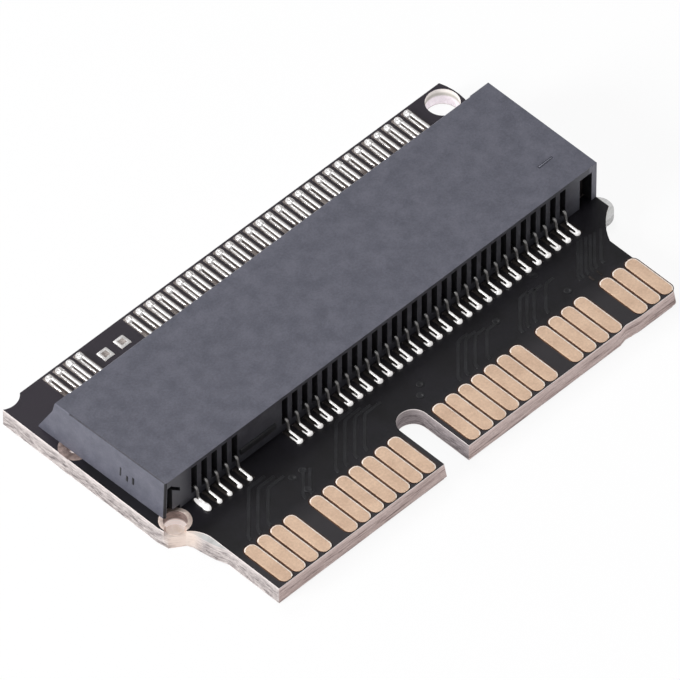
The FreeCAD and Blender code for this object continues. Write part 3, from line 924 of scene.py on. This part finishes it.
def makeTraces(look):
    # Copper runs under the film, each a bar that barely stands above it.
    top = boardTop + look["rise"] / 2 - look["under"] / 2
    bars = []
    for lines, low, high, step, onward in look["groups"]:
        for number, offset in enumerate(lines):
            turn = high + number * step
            start = offset + low + look["foot"]
            path = [(start, low, top), (start, low + look["foot"], top), (offset + turn, turn, top)]
            if onward:
                path.append((offset + turn + onward, turn, top))
            bars.append(sweepBar("trace", path, (0, 0, 1), look["rise"] + look["under"],
                                 look["width"], look["bend"]))
    bank = joinPieces(bars, "maskedTraces")
    softenEdges(bank, look["round"], 1, 50)
    smooth(bank)
    finishPiece(bank, "maskOverCopper", "mask")


def makeVias(look):
    discs = []
    for x, y in look["places"]:
        middle = (x, y, boardTop + look["rise"] - look["depth"] / 2)
        disc = addDisc("via", middle, look["radius"], look["depth"], look["corners"])
        startEdit(disc)
        pickTop(disc)
        stepFaces(look["dimple"])
        endEdit()
        discs.append(disc)
    bank = joinPieces(discs, "tentedVias")
    smooth(bank, 30)
    finishPiece(bank, "maskOverCopper", "mask")


def makeSlivers(look):
    bars = []
    for x, y in look["places"]:
        half = look["length"] / 2
        bar = roundEndedBar("sliver", look["width"], (y - half, y + half), look["heights"],
                            look["endSteps"], look["rim"])
        selectOnly(bar)
        moveBy(x, 0, 0)
        bpy.ops.object.transform_apply(location=True, rotation=False, scale=False)
        bars.append(bar)
    bank = joinPieces(bars, "bareSlivers")
    smooth(bank)
    # The slivers take the near-black painted-shade tin.
    finishPiece(bank, "padTinPaintedShade", "tin")


makeTraces(traces)
makeVias(vias)
makeSlivers(slivers)
print("traces made")


contact = {
    "rearStrip": (0.108, 0.12), "rearShift": -0.01,
    "rearPath": ((-2.14, 0.88), (-1.585, 0.89), (-1.485, 1.40), (-1.095, 1.40), (-1.095, 2.33),
                 (2.55, 2.02), (3.15, 2.22)),
    "frontStrip": (0.155, 0.12), "frontShift": 0.025,
    "frontPath": ((6.32, 0.88), (0.25, 0.88), (0.25, 1.12), (2.6, 1.38), (3.15, 1.22)),
    "pitch": 0.5, "bend": 0.1, "round": 0.04, "footEnd": -1.5, "footTop": 1.0,
    "upperLong": (9.35, 29), "upperShort": (-7.15, 5),   # X of the first tail, and how many
    "lowerLong": (9.10, 29), "lowerShort": (-7.40, 4),
}
banks = {
    "upperLong": ("upper_contacts_long_bank", "rear_pads_long_bank", "rear_solder_long_bank"),
    "upperShort": ("upper_contacts_short_bank", "rear_pads_short_bank", "rear_solder_short_bank"),
    "lowerLong": ("lower_contacts_long_bank", "front_pads_long_bank", "front_solder_long_bank"),
    "lowerShort": ("lower_contacts_short_bank", "front_pads_short_bank", "front_solder_short_bank"),
}
pad = {
    "rearWidth": 0.33, "rear": (-2.225, -1.415), "frontWidth": 0.38, "front": (4.87, 6.4),
    "heights": (0.77, 0.82), "endSteps": 2, "rim": 0.03, "endShare": 0.2,
}
solder = {
    "floor": 0.815, "columns": 16, "rings": 10,
    "rear": (   # toe and side fillet of each kind of joint: middle, then half sizes
        (((-0.03, -2.155, 0.83), (0.13, 0.10, 0.12)), ((-0.12, -2.0, 0.81), (0.026, 0.17, 0.06))),
        (((-0.02, -2.16, 0.83), (0.125, 0.095, 0.125)), ((-0.115, -2.05, 0.81), (0.024, 0.11, 0.05))),
        (((-0.035, -2.155, 0.83), (0.135, 0.10, 0.11)), ((-0.12, -1.95, 0.81), (0.028, 0.23, 0.065))),
        (((-0.04, -2.02, 0.83), (0.14, 0.21, 0.15)), ((-0.07, -1.76, 0.82), (0.10, 0.34, 0.13))),
        (((-0.02, -2.15, 0.82), (0.10, 0.10, 0.13)),),
    ),
    "front": (
        (((0.0, 6.19, 0.82), (0.165, 0.20, 0.15)), ((-0.10, 5.70, 0.81), (0.06, 0.46, 0.055))),
        (((0.01, 6.17, 0.82), (0.16, 0.22, 0.16)), ((-0.09, 5.62, 0.81), (0.07, 0.55, 0.06))),
        (((-0.01, 6.20, 0.82), (0.165, 0.18, 0.14)), ((-0.11, 5.80, 0.81), (0.05, 0.36, 0.05))),
        (((0.0, 6.18, 0.82), (0.17, 0.21, 0.17)), ((-0.10, 5.55, 0.81), (0.065, 0.60, 0.05))),
    ),
    "order": (0, 1, 0, 2, 1, 0, 2, 0, 0, 1, 2), "full": 3, "lean": 4,   # kinds, as numbered above
}


def dome(name, centre, size, floor):
    # A blob of solder: the part of a squashed ball that stands above the pad.
    bpy.ops.object.select_all(action="DESELECT")
    bpy.ops.mesh.primitive_uv_sphere_add(
        segments=solder["columns"], ring_count=solder["rings"], radius=1,
        location=Vector(centre) * mm, scale=Vector(size) * mm)
    bpy.ops.object.transform_apply(location=True, rotation=True, scale=True)
    blob = bpy.context.object
    blob.name = name
    startEdit(blob)
    bpy.ops.mesh.select_all(action="SELECT")
    bpy.ops.mesh.bisect(plane_co=(0, 0, floor * mm), plane_no=(0, 0, 1), use_fill=True,
                        clear_inner=True, threshold=hair / 10)
    endEdit()
    return blob


def kindOf(number, count, short):
    if short:
        return solder["full"] if number == count - 1 else solder["lean"]
    return solder["order"][number % len(solder["order"])]


def makeJoints(places, side, short, name):
    # Joints of a few kinds dealt out along the row. The short one has lean joints and a full last one.
    groups = []
    for kind, blobs in enumerate(solder[side]):
        mine = [x for number, x in enumerate(places) if kindOf(number, len(places), short) == kind]
        if mine:
            parts = [dome("blob", *blob, solder["floor"]) for blob in blobs]
            groups.append(rowOf(joinPieces(parts, "joint"), mine, "joints"))
    joints = joinPieces(groups, name)
    smooth(joints, 60)
    return joints


def makeContacts(look):
    for bank, (contactNode, padNode, solderNode) in banks.items():
        rear = bank.startswith("upper")
        side = "rear" if rear else "front"
        first, count = look[bank]
        places = [first - number * look["pitch"] for number in range(count)]
        path = [(look[side + "Shift"], y, z) for y, z in look[side + "Path"]]
        tail = sweepBar("tail", path, (1, 0, 0), *look[side + "Strip"], look["bend"])
        softenEdges(tail, look["round"], 3, 50)
        tails = rowOf(tail, places, bank + "Contacts")
        smooth(tails, 50)
        # The rear tails take the painted shade.
        tails.data.materials.append(finishes["rearTailPaintedShade" if rear else "tailPlate"])
        # The tops of the feet take the painted glow.
        paintFaces(tails, "footPaintedGlow", lambda middle, normal: middle.y < look["footEnd"]
                   and middle.z < look["footTop"] and normal.z > 0.6)
        finishPiece(tails, None, "contact", contactNode)
        land = roundEndedBar("land", pad[side + "Width"], pad[side], pad["heights"],
                             pad["endSteps"], pad["rim"], pad["endShare"])
        lands = rowOf(land, places, bank + "Pads")
        smooth(lands)
        # The rear pads take the near-black painted-shade tin.
        finishPiece(lands, "padTinPaintedShade" if rear else "padTin", "tin", padNode)
        joints = makeJoints(places, side, bank == "upperShort", bank + "Solder")
        # The rear joints take the painted glow.
        finishPiece(joints, "solderPaintedGlow" if rear else "solderTin", "tin", solderNode)


makeContacts(contact)
print("contacts made")


housing = {
    "round": 0.03, "steps": 2, "cornerCut": 0.07, "shadedChamfer": 0.036,
    "left": -10.73, "rear": -1.365, "top": 2.62,
    "drawnIn": ((-1.365, 2.62, 0.17), (4.11, 2.62, 0.06), (-1.365, 0.8, 0.09)),   # y, z and how far
}
paintedShadeZone = {
    "middle": 0.1, "front": 0.45, "top": 2.5, "face": -1.345, "combReach": 9.98,
    "pocketReach": 10.78, "pocketTop": 2.34, "blank": (-6.92, -5.13), "blankTop": 2.3,
}


def isInPaintedShade(middle, normal):
    # The walls of the comb slots, the hold-downs' pockets and the blank stretch behind the key, which take
    # near-black painted shade.
    look = paintedShadeZone
    if middle.y > look["front"] or middle.z > look["top"]:
        return False
    away = abs(middle.x - look["middle"])
    behindFace = middle.y > look["face"]
    comb = behindFace and away < look["combReach"]
    pockets = behindFace and middle.z < look["pocketTop"] and away < look["pocketReach"]
    blank = within(middle.x, look["blank"]) and middle.z < look["blankTop"]
    return comb or pockets or blank


def leanEnd(body, look):
    # The left end is drawn in at the top and rear, and its two far edges are cut back.
    left, rear, top = look["left"] * mm, look["rear"] * mm, look["top"] * mm
    near, wall = 0.01 * mm, left + 0.3 * mm
    startEdit(body)
    for y, z, shift in look["drawnIn"]:
        corner = Vector((left, y * mm, z * mm))
        pickVertices(body, lambda place: (place - corner).length < near)
        moveBy(shift, 0, 0)
    pickEdges(body, lambda a, b: max(abs(a.y - rear), abs(b.y - rear)) < near
              and max(a.x, b.x) < wall and abs(a.z - b.z) > 1.5 * mm)
    bpy.ops.mesh.bevel(offset=look["cornerCut"] * mm, segments=1, affect="EDGES")
    pickEdges(body, lambda a, b: min(a.z, b.z) > top - near
              and max(a.x, b.x) < wall and abs(a.y - b.y) > 4 * mm)
    bpy.ops.mesh.bevel(offset=look["shadedChamfer"] * mm, segments=1, affect="EDGES")
    endEdit()


def makeHousing(look):
    body = copyOfNode("socket_housing", "socketHousing")
    leanEnd(body, look)
    softenEdges(body, look["round"], look["steps"], 50)
    smooth(body, 35)
    body.data.materials.append(finishes["housingPlastic"])
    # The rear face takes the painted shade, lighter towards the end blocks as painted light.
    paintFaces(body, "combPaintedShade", lambda middle, normal: normal.y < -0.9
               and middle.y < look["rear"] + 0.065)
    # The recesses take near-black painted shade.
    paintFaces(body, "housingPaintedShade", isInPaintedShade)
    # The chamfer under the left top edge takes near-black painted shade.
    paintFaces(body, "seamPaintedShade", lambda middle, normal: middle.x < look["left"] + 0.33
               and middle.z > look["top"] - 0.05
               and within(normal.x, (-0.92, -0.3)) and abs(normal.y) < 0.3)
    finishPiece(body, None, "housing", "socket_housing")


trim = {
    "gate": ((-10.63, 3.38, 2.592), (0.05, 0.10, 0.027), 2.58),   # middle, half sizes and foot
    "ticks": (((0.80, 1.42), (0.86, 1.80)), ((0.46, 1.38), (0.54, 1.62)), ((0.16, 1.44), (0.24, 1.74))),
    "face": -10.70, "proud": 0.006, "sunk": 0.04, "lean": 3.4,
    "bar": ((9.46, -0.07, 2.57), (10.12, -0.012, 2.617)), "barRound": 0.02,
}


def makeTrim(look):
    # The gate mark where the plastic came in and plain ticks on the left end, both in near-black painted
    # shade, and a bar on the top in a lighter plastic as a painted highlight.
    gate = dome("gateMark", *look["gate"])
    smooth(gate)
    finishPiece(gate, "seamPaintedShade", "housing")
    marks = []
    for low, high in look["ticks"]:
        tick = addBlock("tick", (look["face"] - look["proud"], *low), (look["face"] + look["sunk"], *high))
        startEdit(tick)
        pickFaces(tick, lambda face: face.normal.x < -0.9)
        bpy.ops.mesh.bevel(offset=look["proud"] * mm, segments=1, affect="EDGES")
        bpy.ops.mesh.select_all(action="SELECT")
        bpy.ops.transform.rotate(value=-math.radians(look["lean"]), orient_axis="Y",
                                 center_override=(look["face"] * mm, 0, boardTop * mm))
        endEdit()
        marks.append(tick)
    ticks = joinPieces(marks, "endTicks")
    smooth(ticks)
    finishPiece(ticks, "housingPaintedShade", "housing")
    low, high = look["bar"]
    bar = addBlock("pinOneBar", low, high)
    startEdit(bar)
    pickEdges(bar, lambda a, b: min(a.z, b.z) > high[2] * mm - hair)
    bpy.ops.mesh.bevel(offset=look["barRound"] * mm, segments=2, affect="EDGES")
    endEdit()
    smooth(bar)
    finishPiece(bar, "plasticPaintedLight", "housing")


makeHousing(housing)
makeTrim(trim)
print("housing made")


squarePad = {
    "size": 0.48, "heights": (0.78, 0.82), "places": ((-6.66, 5.66), (-5.83, 5.66)),
    "crown": ((0.05, 0.012), (0.065, 0), (0.03, -0.006)), "dishShift": (0.02, -0.02),
    "cornerRound": 0.04, "dullReach": 0.15, "dullTop": 0.8315,
}


def makeSquarePads(look):
    # Tinned pads with a raised rim of solder and a dull dish a little off their middle.
    half = look["size"] / 2
    low, high = look["heights"]
    shiftX, shiftY = look["dishShift"]
    parts = []
    for x, y in look["places"]:
        block = addBlock("testPad", (x - half, y - half, low), (x + half, y + half, high))
        startEdit(block)
        pickTop(block)
        stepFaces(look["crown"])
        moveBy(shiftX, shiftY, 0)
        pickEdges(block, lambda a, b: abs(a.z - b.z) > 0.01 * mm)
        bpy.ops.mesh.bevel(offset=look["cornerRound"] * mm, segments=2, affect="EDGES")
        endEdit()
        parts.append(block)
    pads = joinPieces(parts, "squarePads")
    smooth(pads, 35)
    pads.data.materials.append(finishes["solderTin"])
    paintFaces(pads, "padTin", lambda middle, normal: middle.z < look["dullTop"] and any(
        math.hypot(middle.x - x - shiftX, middle.y - y - shiftY) < look["dullReach"]
        for x, y in look["places"]))
    finishPiece(pads, None, "tin", "square_pads")


makeSquarePads(squarePad)
print("square pads made")


plainNodes = {   # what stays as the solids give it
    "hold_down_pads": "padTin",
    # The hold-downs in their pockets take the near-black painted-shade tin.
    "hold_down_left": "padTinPaintedShade",
    "hold_down_right": "padTinPaintedShade",
}
for nodeName, finish in plainNodes.items():
    nodes[nodeName].data.materials.clear()
    nodes[nodeName].data.materials.append(finishes[finish])
